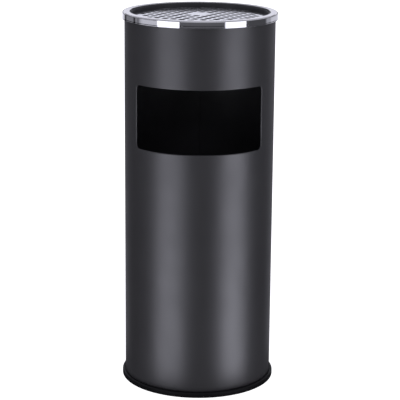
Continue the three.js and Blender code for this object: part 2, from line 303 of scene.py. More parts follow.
class Surface(NodeTree):
    """A Principled material with helpers for its procedural detail, in object coordinates."""

    def __init__(self, name, color, roughness, metallic, specular=0.5):
        self.material = bpy.data.materials.new(name)
        super().__init__(self.material)
        self.shader = self.nodes["Principled BSDF"]
        self.shader.inputs["Base Color"].default_value = (*color, 1)
        self.shader.inputs["Roughness"].default_value = roughness
        self.shader.inputs["Metallic"].default_value = metallic
        self.shader.inputs["Specular IOR Level"].default_value = specular
        self.coordinates = self.nodes.new("ShaderNodeTexCoord").outputs["Object"]

    def stretched(self, scale):
        """Object coordinates scaled by (x, y, z)."""
        mapping = self.nodes.new("ShaderNodeMapping")
        mapping.inputs["Scale"].default_value = scale
        self.link(self.coordinates, mapping.inputs["Vector"])
        return mapping.outputs["Vector"]

    def radial(self):
        """Coordinates (distance from the axis, 0, height), for marks that run round the piece."""
        split = self.nodes.new("ShaderNodeSeparateXYZ")
        self.link(self.coordinates, split.inputs[0])
        x, y, z = split.outputs
        squares = [self.math("MULTIPLY", axis, axis) for axis in (x, y)]
        distance = self.math("SQRT", self.math("ADD", *squares))
        joined = self.nodes.new("ShaderNodeCombineXYZ")
        self.link(distance, joined.inputs["X"])
        self.link(z, joined.inputs["Z"])
        return joined.outputs[0]

    def noise(self, scale, detail, vector=None):
        """Noise from 0 to 1; scale is in waves per metre."""
        noise = self.nodes.new("ShaderNodeTexNoise")
        noise.inputs["Scale"].default_value = scale
        noise.inputs["Detail"].default_value = detail
        self.link(vector or self.coordinates, noise.inputs["Vector"])
        return noise.outputs["Fac"]

    def spangle(self, scale):
        """One random value from 0 to 1 for each crystal."""
        cells = self.nodes.new("ShaderNodeTexVoronoi")
        cells.inputs["Scale"].default_value = scale
        self.link(self.coordinates, cells.inputs["Vector"])
        split = self.nodes.new("ShaderNodeSeparateColor")
        self.link(cells.outputs["Color"], split.inputs[0])
        return split.outputs["Red"]

    def vary_color(self, value, low, high, start=0.3, end=0.7):
        """Blends two colours as the value goes from start to end."""
        ramp = self.nodes.new("ShaderNodeValToRGB")
        ramp.color_ramp.elements[0].position = start
        ramp.color_ramp.elements[0].color = (*low, 1)
        ramp.color_ramp.elements[1].position = end
        ramp.color_ramp.elements[1].color = (*high, 1)
        self.link(value, ramp.inputs[0])
        self.link(ramp.outputs["Color"], self.shader.inputs["Base Color"])

    def vary_roughness(self, value, low, high):
        """Blends two roughnesses over the middle of the value's range."""
        spread = self.nodes.new("ShaderNodeMapRange")
        spread.inputs["From Min"].default_value = 0.3
        spread.inputs["From Max"].default_value = 0.7
        spread.inputs["To Min"].default_value = low
        spread.inputs["To Max"].default_value = high
        self.link(value, spread.inputs["Value"])
        self.link(spread.outputs["Result"], self.shader.inputs["Roughness"])

    def bump(self, value, depth_mm):
        """Stacks a bump of this depth on those added before."""
        bump = self.nodes.new("ShaderNodeBump")
        bump.inputs["Strength"].default_value = 1.0
        bump.inputs["Distance"].default_value = depth_mm * MM
        self.link(value, bump.inputs["Height"])
        normal = self.shader.inputs["Normal"]
        if normal.is_linked:
            self.link(normal.links[0].from_socket, bump.inputs["Normal"])
        self.link(bump.outputs["Normal"], normal)


def shell_paint():
    """Dark grey satin enamel: faint orange peel and slow drifts of tone and gloss."""
    paint = Surface("shell_paint", (0.024, 0.0235, 0.026), 0.42, 0.0, specular=0.5)
    paint.vary_color(paint.noise(9, 3), (0.023, 0.0225, 0.025), (0.025, 0.0245, 0.027))
    paint.vary_roughness(paint.noise(25, 4), 0.40, 0.45)
    paint.bump(paint.noise(420, 2), 0.02)
    paint.bump(paint.noise(1500, 1), 0.006)
    return paint.material


def inner_paint():
    """Thin black primer, duller and rougher than the outside."""
    paint = Surface("inner_paint", (0.018, 0.018, 0.020), 0.5, 0.0, specular=0.4)
    paint.vary_color(paint.noise(14, 4), (0.015, 0.015, 0.017), (0.021, 0.021, 0.023))
    paint.vary_roughness(paint.noise(60, 3), 0.45, 0.6)
    paint.bump(paint.noise(700, 2), 0.02)
    return paint.material


def bowl_enamel():
    """Dark satin enamel, dulled a little by ash."""
    enamel = Surface("bowl_enamel", (0.025, 0.025, 0.027), 0.38, 0.0, specular=0.5)
    enamel.vary_color(enamel.noise(30, 5), (0.020, 0.020, 0.022), (0.032, 0.032, 0.034))
    enamel.vary_roughness(enamel.noise(80, 4), 0.32, 0.5)
    enamel.bump(enamel.noise(600, 2), 0.015)
    return enamel.material


def base_rubber():
    """Moulded black rubber with a fine grain and a trace of dust."""
    rubber = Surface("base_rubber", (0.003, 0.003, 0.0035), 0.45, 0.0, specular=0.2)
    rubber.vary_color(rubber.noise(40, 5), (0.0025, 0.0025, 0.003), (0.0035, 0.0035, 0.004))
    rubber.vary_roughness(rubber.noise(90, 3), 0.38, 0.52)
    rubber.bump(rubber.noise(1200, 2), 0.03)
    return rubber.material


def polished_steel():
    """Polished stainless steel: faint turning marks and a slow haze."""
    steel = Surface("polished_steel", (0.77, 0.77, 0.78), 0.07, 1.0)
    steel.vary_color(steel.noise(12, 3), (0.75, 0.75, 0.76), (0.79, 0.79, 0.80))
    steel.vary_roughness(steel.noise(30, 4), 0.05, 0.09)
    steel.bump(steel.noise(1600, 2, steel.radial()), 0.0008)
    return steel.material


def grate_steel():
    """Bright rolled stainless sheet with a fine straight grain."""
    steel = Surface("grate_steel", (0.77, 0.79, 0.82), 0.07, 1.0)
    steel.vary_color(steel.noise(18, 4), (0.74, 0.76, 0.79), (0.79, 0.81, 0.84))
    steel.vary_roughness(steel.noise(50, 4), 0.05, 0.10)
    steel.bump(steel.noise(900, 2, steel.stretched((1, 0.04, 1))), 0.001)
    return steel.material


def shaded_cut_edge():
    """Steel along cut and punched edges, dull and rough, with uneven tone; its dark colour is painted
    shade, for the shaded walls of the grate's holes and the trim ring's lip and lower edge.
    """
    edge = Surface("shaded_cut_edge", (0.16, 0.16, 0.165), 0.55, 1.0)
    edge.vary_color(edge.noise(60, 4), (0.12, 0.12, 0.125), (0.20, 0.20, 0.205))
    edge.vary_roughness(edge.noise(120, 3), 0.45, 0.65)
    edge.bump(edge.noise(1500, 2), 0.01)
    return edge.material


def galvanised_steel():
    """Hot-dip zinc with its spangle: each crystal has its own tone and gloss."""
    zinc = Surface("galvanised_steel", (0.5, 0.52, 0.53), 0.4, 1.0)
    zinc.vary_color(zinc.spangle(110), (0.40, 0.42, 0.43), (0.56, 0.58, 0.59), 0.0, 1.0)
    zinc.vary_roughness(zinc.spangle(110), 0.30, 0.52)
    zinc.bump(zinc.noise(500, 3), 0.01)
    return zinc.material


def zinc_wire():
    """Bright zinc plate with drawing marks."""
    zinc = Surface("zinc_wire", (0.6, 0.61, 0.62), 0.3, 1.0)
    zinc.vary_color(zinc.noise(70, 4), (0.54, 0.55, 0.56), (0.64, 0.65, 0.66))
    zinc.vary_roughness(zinc.noise(200, 3), 0.24, 0.40)
    zinc.bump(zinc.noise(1500, 2), 0.004)
    return zinc.material


PAINT = shell_paint()
PRIMER = inner_paint()
RUBBER = base_rubber()
BOWL_ENAMEL = bowl_enamel()
POLISHED = polished_steel()
GRATE = grate_steel()
SHADED_CUT_EDGE = shaded_cut_edge()
GALVANISED = galvanised_steel()
ZINC = zinc_wire()


# ---------------------------- outer shell


def window_outline(radius):
    """Anchors and outward directions round the window, anticlockwise from its lower left corner.

    A point at distance d outside the edge is anchor + (WINDOW_CORNER + d) * direction.
    """
    half_width = math.radians(WINDOW_HALF_ANGLE) * radius - WINDOW_CORNER
    low, high = WINDOW_BOTTOM + WINDOW_CORNER, WINDOW_TOP - WINDOW_CORNER
    corners = [(-half_width, low), (half_width, low), (half_width, high), (-half_width, high)]
    outline = []
    for side, steps in enumerate((ACROSS_STEPS, UP_STEPS, ACROSS_STEPS, UP_STEPS)):
        anchor = Vector(corners[side])
        following = Vector(corners[(side + 1) % 4])
        facing = math.radians(-90 + 90 * side)
        for k in range(CORNER_STEPS):
            outline.append((anchor, heading(facing - math.radians(45) * (1 - k / CORNER_STEPS))))
        for k in range(steps):
            outline.append((anchor.lerp(following, k / steps), heading(facing)))
        for k in range(CORNER_STEPS):
            outline.append((following, heading(facing + math.radians(45) * k / CORNER_STEPS)))
    return outline


def shell_columns(radius):
    """Arc lengths of the wall's columns from the window's middle, and how many cross its patch.

    The first column is the left side of the patch.
    """
    seam = math.pi * radius
    half_width = math.radians(WINDOW_HALF_ANGLE) * radius - WINDOW_CORNER
    reach = half_width + WINDOW_CORNER + WINDOW_MARGIN
    columns = spread(-reach, -half_width, CORNER_STEPS)
    columns += spread(-half_width, half_width, ACROSS_STEPS)
    columns += spread(half_width, reach, CORNER_STEPS)
    patch_columns = len(columns)
    columns += spread(reach, seam - 0.6, WALL_STEPS)
    columns += [seam - 0.6, seam - 0.1, seam + 0.1, seam + 0.6]
    columns += spread(seam + 2.5, 2 * seam - reach, WALL_STEPS)
    return columns, patch_columns


def shell_rows(foot, hem_start):
    """Heights of the wall's rows, and the numbers of the patch's first and last row."""
    patch_low, patch_high = WINDOW_BOTTOM - WINDOW_MARGIN, WINDOW_TOP + WINDOW_MARGIN
    first_straight, last_straight = WINDOW_BOTTOM + WINDOW_CORNER, WINDOW_TOP - WINDOW_CORNER
    rows = spread(foot, patch_low, 30)
    patch_start = len(rows)
    rows += spread(patch_low, first_straight, CORNER_STEPS)
    rows += spread(first_straight, last_straight, UP_STEPS)
    rows += spread(last_straight, patch_high, CORNER_STEPS)
    patch_end = len(rows)
    rows += spread(patch_high, hem_start, 8)
    return rows, patch_start, patch_end


def hem_outline(radius, hem_start, shell_top):
    """(radius, height) points over the rolled hem, from the outer face to the inner one."""
    middle = radius - SHELL_WALL / 2
    top = shell_top - SHELL_WALL / 2
    bend = SHELL_HEM_REACH / 2 * 0.98
    path = bent_path([
        (middle, hem_start),
        (middle, top, bend),
        (middle + SHELL_HEM_REACH, top, bend),
        (middle + SHELL_HEM_REACH, top - SHELL_HEM_DROP),
    ], steps=5)
    outline = sheet_profile(path, SHELL_WALL)
    return [tuple(point) for point in outline[:-3]]  # without the rounding at the path's start


def fold_rings(radius):
    """(distance outside the window's edge, radius) of the loops over its fold, outer face first."""
    edge = WINDOW_EDGE_RADIUS
    inner = radius - SHELL_WALL
    fold = radius - 2 * edge
    rings = [(5.5, radius), (3.2, radius), (1.7, radius)]
    for k in range(9):
        turn = math.pi * k / 8
        rings.append((edge * (1 - math.sin(turn)), radius - edge + edge * math.cos(turn)))
    rings += [(2.5, fold), (WINDOW_FOLD_DEPTH - 1, fold), (WINDOW_FOLD_DEPTH, fold + 0.2)]
    rings += [(WINDOW_FOLD_DEPTH + 0.3, inner - 0.1), (WINDOW_FOLD_DEPTH + 0.8, inner)]
    return rings


def on_wall(arc, r, z, radius):
    """The point at this arc length from the window's middle, let down behind the rear lap."""
    seam = math.pi * radius
    past_seam = (arc - seam) % (2 * seam)
    if arc > seam:
        r -= SEAM_STEP * (1 - smoothstep(past_seam / SEAM_EASE))
    angle = arc / radius
    return (r * math.sin(angle), -r * math.cos(angle), z)


def painted_shell():
    """The rolled shell: a regular grid with the window's folded edge let into it."""
    low, high = box_mm("outer_shell")
    radius = high.x - SHELL_HEM_REACH
    inner = radius - SHELL_WALL
    hem_start = high.z - 4
    columns, patch_columns = shell_columns(radius)
    rows, patch_start, patch_end = shell_rows(low.z + 0.4, hem_start)

    # One column's outline: up the outer face, over the hem, down the inner face.
    profile = [(radius, z) for z in rows] + hem_outline(radius, hem_start, high.z)
    inner_start = len(profile)
    profile += [(inner, z) for z in reversed(rows)]
    profile += [(inner + 0.3, low.z), (radius - 0.3, low.z)]
    depth = len(profile)
    points = [on_wall(arc, r, z, radius) for arc in columns for r, z in profile]

    def inner_row(row):
        return inner_start + len(rows) - 1 - row

    def in_patch(j):
        return patch_start <= j < patch_end or patch_start <= inner_row(0) - 1 - j < patch_end

    faces, slots = [], []
    for k in range(len(columns)):
        following = (k + 1) % len(columns)
        for j in range(depth):
            if k < patch_columns and in_patch(j):
                continue
            n = (j + 1) % depth
            faces.append([k * depth + j, following * depth + j, following * depth + n, k * depth + n])
            slots.append(1 if j >= inner_start else 0)

    # The patch's border on the grid, anticlockwise from its lower left corner.
    border = [(k, patch_start) for k in range(patch_columns)]
    border += [(patch_columns, row) for row in range(patch_start, patch_end)]
    border += [(k, patch_end) for k in range(patch_columns, 0, -1)]
    border += [(0, row) for row in range(patch_end, patch_start, -1)]

    outline = window_outline(radius)
    loops = [[k * depth + row for k, row in border]]
    for offset, r in fold_rings(radius):
        loops.append(list(range(len(points), len(points) + len(outline))))
        for anchor, direction in outline:
            spot = anchor + direction * (WINDOW_CORNER + offset)
            points.append(on_wall(spot.x, r, spot.y, radius))
    loops.append([k * depth + inner_row(row) for k, row in border])
    for step, (outer, nearer) in enumerate(zip(loops, loops[1:])):
        faces += bridge(outer, nearer)
        slots += [0 if step < PAINTED_FOLD_STEPS else 1] * len(outer)
    return add_mesh("painted_shell", points, faces, [PAINT, PRIMER], slots)


# ---------------------------- base


def grooved_middle(level, start, end, depth):
    """The flat middle of a pressed disc, out to the far side of its round groove."""
    floor = level - depth
    groove = [(start, level, 1.5), (start + 2, floor, 1.5), (end, floor, 1.5), (end + 2, level, 1.5)]
    return [(0, level), *groove]


def floor_plate():
    """The shell's floor: a dished disc with a round groove and a flange turned down."""
    low, high = box_mm("bottom_plate")
    flange = high.x - FLOOR_SHEET / 2
    raised = high.z - FLOOR_SHEET / 2
    level = raised - 3
    path = bent_path([
        *grooved_middle(raised, 30, 60, depth=1.2),
        (91, raised, 2),
        (95.5, level, 2),
        (flange, level, 2),
        (flange, low.z + FLOOR_SHEET / 2),
    ], steps=5, support=0.2)
    return lathe("floor_plate", sheet_profile(path, FLOOR_SHEET), PRIMER)


def rubber_ring():
    """A channel section: rounded outside, slotted underneath, the shell's edge in its groove."""
    high = box_mm("base_ring")[1]
    outside = high.x
    top = high.z
    inside = 116.5
    inner_leg = 6.6
    groove_in, groove_out = 119.7, 121.3
    groove_floor = 3.0
    slot_pitch, slot_width, slot_depth = 2.4, 1.2, 0.7
    slot = inside + 1.2
    under = [(inside + 0.6, 0)]
    while slot + 1.6 < outside - 1.2:
        under += [(slot, 0), (slot + 0.3, slot_depth), (slot + 0.9, slot_depth), (slot + slot_width, 0)]
        slot += slot_pitch
    corners = [(inside, 2.0), *under, (outside, 0, 0.9)]
    corners += [(outside, 4.6), (outside - 0.25, 4.9), (outside, 5.2)]
    corners += [(outside, top, 2.9), (groove_out, top, 0.5), (groove_out, groove_floor)]
    corners += [(groove_in, groove_floor), (groove_in, inner_leg, 0.5), (inside, inner_leg, 1.0)]
    path = bent_path(corners, steps=6, support=0.1)
    return lathe("rubber_ring", path, RUBBER, segments=256)


# ---------------------------- ash bowl and grate


def trim_ring():
    """The bright ring: a lip turned down inside, a hardly sloped top and a skirt with a small bead."""
    low, high = box_mm("ash_rim")
    top = high.z - RIM_SHEET / 2
    bead = high.x - RIM_SHEET / 2
    skirt = bead - 0.12
    path = bent_path([
        (LIP_RADIUS, high.z - 1.5),
        (LIP_RADIUS, top, 0.7),
        (skirt - 0.13, top - 0.16, 1.5),
        (skirt, high.z - 7.2, 4),
        (skirt, low.z + 2.2, 0.8),
        (bead, low.z + 1.3, 0.8),
        (bead, low.z),
    ])

    # The skirt's lower edge and the inside of the lip take the dark edge steel, which is painted shade.
    def is_shaded_rim_edge(r, z):
        return z < low.z + 0.4 or (r < LIP_RADIUS + 0.2 and z < high.z - 0.3)

    return lathe("trim_ring", sheet_profile(path, RIM_SHEET), POLISHED, segments=320,
                 shaded_edge=SHADED_CUT_EDGE, is_shaded_edge=is_shaded_rim_edge)


def dark_bowl():
    """The enamelled bowl: a pan, a ledge for the grate and a flange under the trim ring."""
    low, high = box_mm("ash_bowl")
    flange = high.z - BOWL_SHEET / 2
    ledge = flange - LEDGE_DROP
    pan = low.z + BOWL_SHEET / 2
    pan_middle = pan + 0.8
    wall = 110.8
    path = bent_path([
        (0, pan_middle),
        (66, pan_middle, 6),
        (72, pan, 6),
        (94, pan, 6),
        (102.5, ledge, 1.8),
        (wall, ledge, 1.2),
        (wall, flange, 1.2),
        (high.x, flange),
    ])
    return lathe("dark_bowl", sheet_profile(path, BOWL_SHEET), BOWL_ENAMEL, segments=256)


def hole_centres(radius):
    """The lattice's points that lie between the solid middle and the plain border."""
    reach = math.ceil(radius / GRATE_PITCH) + 1
    cos, sin = math.cos(GRATE_ANGLE), math.sin(GRATE_ANGLE)
    centres = []
    for a in range(-reach, reach + 1):
        for b in range(-reach, reach + 1):
            u = (a + GRATE_SHIFT[0]) * GRATE_PITCH
            v = (b + GRATE_SHIFT[1]) * GRATE_PITCH
            centre = Vector((u * cos - v * sin, u * sin + v * cos))
            if SOLID_CENTRE < centre.length < HOLE_FIELD:
                centres.append(centre)
    return centres


def hole_loop(centre, offset):
    """A hole's rounded square, grown by the offset, clockwise."""
    steps = 5
    inset = HOLE_SIDE / 2 - HOLE_CORNER
    loop = []
    for quarter in range(4):
        facing = GRATE_ANGLE - math.radians(90 * quarter)
        diagonal = heading(facing)
        across = Vector((-diagonal.y, diagonal.x))
        anchor = centre + (diagonal + across) * inset
        for k in range(steps + 1):
            spoke = heading(facing + math.radians(90) * (1 - k / steps))
            loop.append(anchor + spoke * (HOLE_CORNER + offset))
    return loop


def from_holes(spot, centres):
    """The spot as seen from each hole, along the hole's own sides."""
    turned = Matrix.Rotation(-GRATE_ANGLE, 2)
    return [turned @ (spot - centre) for centre in centres]


def is_in_hole(spot, centres):
    """Whether the spot lies inside a hole or on its rolled edge."""
    inside = HOLE_SIDE / 2 + HOLE_ROLL
    corner = HOLE_CORNER + HOLE_ROLL
    for p in from_holes(spot, centres):
        if max(abs(p.x), abs(p.y)) < inside:
            x, y = abs(p.x) - (inside - corner), abs(p.y) - (inside - corner)
            if min(x, y) < 0 or math.hypot(x, y) < corner:
                return True
    return False


def filling_points(centres, radius, reach):
    """A triangular grid of points within the reach that keeps clear of the holes."""
    spacing = 3.3
    row_height = 0.866
    clear = HOLE_SIDE / 2 + HOLE_ROLL + 0.7
    count = math.ceil(radius / spacing)
    spots = []
    for i in range(-count, count + 1):
        for j in range(-count, count + 1):
            spot = Vector(((i + 0.5 * (j % 2)) * spacing, j * spacing * row_height))
            if spot.length <= reach and all(
                max(abs(p.x), abs(p.y)) > clear for p in from_holes(spot, centres)
            ):
                spots.append(spot)
    return spots


def triangulated(border, outlines, filling, centres):
    """The flat sheet inside its border and outside the holes: points, then triangles."""
    flat = []
    edges = []
    for loop in (border, *outlines):
        start = len(flat)
        flat += loop
        edges += [(start + k, start + (k + 1) % len(loop)) for k in range(len(loop))]
    verts, _, triangles, *_ = delaunay_2d_cdt(flat + filling, edges, [], 0, 1e-5)
    kept = []
    for triangle in triangles:
        middle = sum((verts[i] for i in triangle), Vector((0, 0))) / 3
        if middle.length <= border[0].length and not is_in_hole(middle, centres):
            kept.append(tuple(triangle))
    return verts, kept


def grate_height(spot):
    """Height of the sheet's underside over its fold: a dome, and a flat cone round it."""
    outside = max(spot.length - GRATE_BORDER, 0)
    return GRATE_DOME * (1 - min(spot.length / GRATE_BORDER, 1) ** 2) - BORDER_SLOPE * outside


def perforated_grate():
    """A domed sheet with punched holes whose upper edges are rolled over."""
    low, high = box_mm("ash_grate")
    radius = high.x
    foot = low.z + BORDER_SLOPE * (radius - GRATE_BORDER)
    spokes = circle(240)
    border = [spoke * (radius - 0.5) for spoke in spokes]
    centres = hole_centres(radius)
    outlines = [hole_loop(centre, HOLE_ROLL) for centre in centres]
    filling = filling_points(centres, radius, radius - 2)
    verts, triangles = triangulated(border, outlines, filling, centres)

    count = len(verts)
    points = [(v.x, v.y, foot + GRATE_SHEET + grate_height(v)) for v in verts]
    points += [(v.x, v.y, foot + grate_height(v)) for v in verts]
    faces = list(triangles)
    faces += [tuple(count + i for i in reversed(triangle)) for triangle in triangles]
    slots = [0] * len(faces)
    number_at = {(round(v.x, 3), round(v.y, 3)): i for i, v in enumerate(verts)}

    def numbers(loop):
        return [number_at[(round(p.x, 3), round(p.y, 3))] for p in loop]

    def add_loop(spots, share):
        """New points at this share of the sheet's thickness."""
        start = len(points)
        points.extend((p.x, p.y, foot + share * GRATE_SHEET + grate_height(p)) for p in spots)
        return list(range(start, start + len(spots)))

    def add_edge(top_loop, middle_loops, bright_steps):
        """Walls from the top face to the underside: after the first few steps they take the dark edge
        steel, which is painted shade.
        """
        loops = [top_loop, *middle_loops, [count + i for i in top_loop]]
        for step, (outer, nearer) in enumerate(zip(loops, loops[1:])):
            faces.extend(bridge(outer, nearer))
            slots.extend([0 if step < bright_steps else 1] * len(outer))

    # Each hole's wall below its rolled edge is dark edge steel: painted shade in the holes.
    for centre, outline in zip(centres, outlines):
        walls = [add_loop(hole_loop(centre, offset), share) for offset, share in HOLE_SECTION]
        add_edge(numbers(outline), walls, bright_steps=3)
    rim = [
        add_loop([spoke * (radius - inset) for spoke in reversed(spokes)], share)
        for inset, share in RIM_SECTION
    ]
    add_edge(numbers(border)[::-1], rim, bright_steps=len(rim) + 1)
    return add_mesh("perforated_grate", points, faces, [GRATE, SHADED_CUT_EDGE], slots)


# ---------------------------- liner


def liner_can():
    """The liner's wall: two pairs of grooves, and a rim rolled round its wire."""
    low, high = box_mm("liner_wall")
    wire_low, wire_high = box_mm("liner_rim_wire")
    wall = LINER_WALL_RADIUS - LINER_SHEET / 2
    curl = (high.x - LINER_SHEET / 2 - wall) / 2
    centre = Vector((wall + curl, (wire_low.z + wire_high.z) / 2))
    path = [Vector((wall, low.z))]
    for height in LINER_GROOVES:
        path += swage(wall, low.z + height)
    path.append(Vector((wall, centre.y - 0.4)))
    steps = 24
    for k in range(steps + 1):
        path.append(centre + heading(math.pi - math.radians(250) * k / steps) * curl)
    return lathe("liner_can", sheet_profile(path, LINER_SHEET), GALVANISED)


def swage(wall, height):
    """A shallow stiffening groove rolled into the liner's wall."""
    half = 4.0
    depth = 1.1
    steps = 10
    return [
        Vector((wall - depth * (0.5 + 0.5 * math.cos(math.pi * t)), height + half * t))
        for t in (2 * k / steps - 1 for k in range(steps + 1))
    ]


def wire_ring():
    """The wire inside the liner's rolled rim."""
    low, high = box_mm("liner_rim_wire")
    wire = (high.z - low.z) / 2
    centre = Vector((high.x - wire, low.z + wire))
    return lathe("wire_ring", [centre + spoke * wire for spoke in circle(16)], ZINC)


def liner_floor():
    """The liner's floor: a disc with a round groove and a flange turned down."""
    low, high = box_mm("liner_bottom")
    flange = high.x - LINER_SHEET / 2
    level = high.z - LINER_SHEET / 2
    path = bent_path([
        *grooved_middle(level, 40, 80, depth=1),
        (flange, level, 2),
        (flange, low.z + LINER_SHEET / 2),
    ], steps=5, support=0.2)
    return lathe("liner_floor", sheet_profile(path, LINER_SHEET), GALVANISED)


def ear_saddle(name, node, side):
    """A pressed strap with rounded ends: feet on the wall, a bridge that the bail pivots in."""
    low, high = box_mm(node)
    pivot = (low.z + high.z) / 2
    half_height = (high.z - low.z) / 2
    foot, bridge_radius = 108.3, 111.3
    end_angle, foot_angle, bridge_angle = 8.4, 4.4, 3.2
    half_length = math.radians(end_angle) * foot
    corner = 3.0
    hole = 2.4
    count = 48
    edge_rounding = 0.25

    def back_face(across):
        """Radius of the strap's back face at this distance along it."""
        angle = abs(math.degrees(across / foot))
        ease = smoothstep((foot_angle - angle) / (foot_angle - bridge_angle))
        return foot + (bridge_radius - foot) * ease

    # Loops from the pivot hole out to the strap's outline, all with the same number of points.
    loops = []
    for share in (0.0, 0.03, 0.12, 0.3, 0.5, 0.7, 0.85, 0.95, 0.985, 1.0):
        loop = []
        for k in range(count):
            direction = heading(2 * math.pi * (k + 0.5) / count)
            edge = rounded_box_reach(direction, half_length, half_height, corner)
            loop.append(direction * (hole + (edge - hole) * share))
        loops.append(loop)
    points, faces = [], []
    for height, inward in ((EAR_SHEET, -1), (0.0, 1)):
        for m, loop in enumerate(loops):
            rounding = edge_rounding if m in (0, len(loops) - 1) else 0.0
            for spot in loop:
                r = back_face(spot.x) + (height + inward * rounding)
                angle = math.radians(side) + spot.x / foot
                points.append((r * math.cos(angle), r * math.sin(angle), pivot + spot.y))
    under = len(loops) * count
    for m in range(len(loops) - 1):
        for k in range(count):
            n = (k + 1) % count
            a, b = m * count, (m + 1) * count
            faces.append((a + k, b + k, b + n, a + n))
            faces.append((under + a + k, under + a + n, under + b + n, under + b + k))
    last = (len(loops) - 1) * count
    for k in range(count):
        n = (k + 1) % count
        faces.append((last + k, under + last + k, under + last + n, last + n))
        faces.append((k, n, under + n, under + k))
    return add_mesh(name, points, faces, [GALVANISED])


def rounded_box_reach(direction, half_width, half_height, corner):
    """Distance from the centre of a rounded rectangle to its outline in this direction."""
    low, high = 0.0, half_width + half_height
    for _ in range(40):
        middle = (low + high) / 2
        x = max(abs(direction.x) * middle - (half_width - corner), 0.0)
        y = max(abs(direction.y) * middle - (half_height - corner), 0.0)
        if math.hypot(x, y) < corner:
            low = middle
        else:
            high = middle
    return low


def dome_rivet(name, node, angle_degrees):
    """A domed rivet along the radius at this angle, its tail inside the liner."""
    low, high = box_mm(node)
    length = 5.8
    shank = 1.5
    tail, tail_height = 2.5, 0.8
    head, head_height, head_rim = 2.95, 1.6, 0.2
    head_base = length - head_height
    profile = [(0, 0), (tail * 0.6, 0), (tail * 0.92, 0.12), (tail, 0.4), (tail * 0.97, tail_height)]
    profile += [(shank, tail_height), (shank, head_base)]
    profile += [(head * 0.97, head_base), (head, head_base + head_rim)]
    for k in range(1, 8):
        turn = math.radians(90) * k / 8
        rise = (head_height - head_rim) * math.sin(turn)
        profile.append((head * math.cos(turn), head_base + head_rim + rise))
    profile.append((0, length))
    rivet = lathe(name, profile, ZINC, segments=32)

    outward = heading(math.radians(angle_degrees))
    middle = Vector(((low.x + high.x) / 2, (low.y + high.y) / 2))
    base = outward * (middle.dot(outward) - length / 2)
    pivot = (low.z + high.z) / 2
    turn = Matrix.Rotation(math.radians(angle_degrees), 4, "Z") @ Matrix.Rotation(math.pi / 2, 4, "Y")
    rivet.data.transform(Matrix.Translation(Vector((*base, pivot)) * MM) @ turn)
    return rivet


def tube(name, centres, radii, material, sides=16):
    """A closed round bar through the centres, with its own radius at each."""
    points, faces = [], []
    normal = Vector((0, 0, 1))
    for i, centre in enumerate(centres):
        along = centres[min(i + 1, len(centres) - 1)] - centres[max(i - 1, 0)]
        along.normalize()
        normal = (normal - along * normal.dot(along)).normalized()
        side = along.cross(normal)
        for k in range(sides):
            turn = 2 * math.pi * k / sides
            points.append(centre + (normal * math.cos(turn) + side * math.sin(turn)) * radii[i])
    loops = [range(i * sides, (i + 1) * sides) for i in range(len(centres))]
    for loop, following in zip(loops, loops[1:]):
        faces += bridge(loop, following)
    faces.append(tuple(reversed(loops[0])))
    faces.append(tuple(loops[-1]))
    return add_mesh(name, points, faces, [material])


def bail_wire():
    """The bail: one wire bent through both ears, with upset ends that keep it there."""
    radius = box_mm("liner_bail")[1].x - BAIL_WIRE
    pin_end, bend = 109.2, 3.4

    # One half, from its pin to the bail's middle, as (spot in the bail's own plane, wire radius).
    half = [
        (Vector((pin_end, 0)), BAIL_STOP - 0.3),
        (Vector((pin_end + 0.3, 0)), BAIL_STOP),
        (Vector((pin_end + 1.3, 0)), BAIL_STOP),
        (Vector((pin_end + 1.6, 0)), BAIL_WIRE),
        (Vector((radius - bend - 0.6, 0)), BAIL_WIRE),
    ]
    for k in range(7):
        turn = math.radians(90) * k / 6
        spot = Vector((radius - bend + bend * math.sin(turn), bend - bend * math.cos(turn)))
        half.append((spot, BAIL_WIRE))
    start = math.asin(bend / radius) + 0.01
    steps = 40
    for k in range(1, steps + 1):
        turn = start + (math.pi / 2 - start) * k / steps
        half.append((Vector((radius * math.cos(turn), radius * math.sin(turn))), BAIL_WIRE))
    mirrored = [(Vector((-spot.x, spot.y)), r) for spot, r in reversed(half[:-1])]

    pivot = pivot_height()
    rest = math.radians(BAIL_REST_ANGLE)
    centres, radii = [], []
    for spot, r in half + mirrored:
        centres.append(Vector((spot.x, spot.y * math.cos(rest), pivot + spot.y * math.sin(rest))))
        radii.append(r)
    return tube("bail_wire", centres, radii, ZINC)


def pivot_height():
    """Height of the bail's pivot, from the joint in the frame."""
    swing = next(joint for joint in frame["joints"] if joint["name"] == "bail_swing")
    return swing["pos_m"][2] / MM


# ---------------------------- the pieces on their bodies

dress(painted_shell(), "bin_body", "shell_paint", "outer_shell")
dress(floor_plate(), "bin_body", "inner_paint", "bottom_plate")
dress(rubber_ring(), "bin_body", "base_rubber", "base_ring")
dress(trim_ring(), "ashtray", "polished_steel", "ash_rim")
dress(dark_bowl(), "ashtray", "bowl_enamel", "ash_bowl")
dress(perforated_grate(), "grate", "satin_steel", "ash_grate")
dress(liner_can(), "liner", "galvanised_steel", "liner_wall")
dress(wire_ring(), "liner", "zinc_wire", "liner_rim_wire")
dress(liner_floor(), "liner", "galvanised_steel", "liner_bottom")
dress(ear_saddle("saddle_right", "liner_ear_right", 0), "liner", "galvanised_steel", "liner_ear_right")
dress(ear_saddle("saddle_left", "liner_ear_left", 180), "liner", "galvanised_steel", "liner_ear_left")
for end, angle in (
    ("right_front", -6.4), ("right_rear", 6.4), ("left_front", 186.4), ("left_rear", 173.6),
):
    rivet = dome_rivet(f"dome_rivet_{end}", f"ear_rivet_{end}", angle)
    dress(rivet, "liner", "zinc_wire", f"ear_rivet_{end}")
dress(bail_wire(), "bail", "zinc_wire", "liner_bail")


# ---------------------------- floor, light and camera


def ground_sheet(name, half_side, material, height):
    """A flat square that lies this many metres from floor level and isn't part of the bin."""
    corners = [(-half_side, -half_side, 0), (half_side, -half_side, 0)]
    corners += [(half_side, half_side, 0), (-half_side, half_side, 0)]
    sheet = add_mesh(name, corners, [(0, 1, 2, 3)], [material])
    sheet.location.z = height
    return sheet


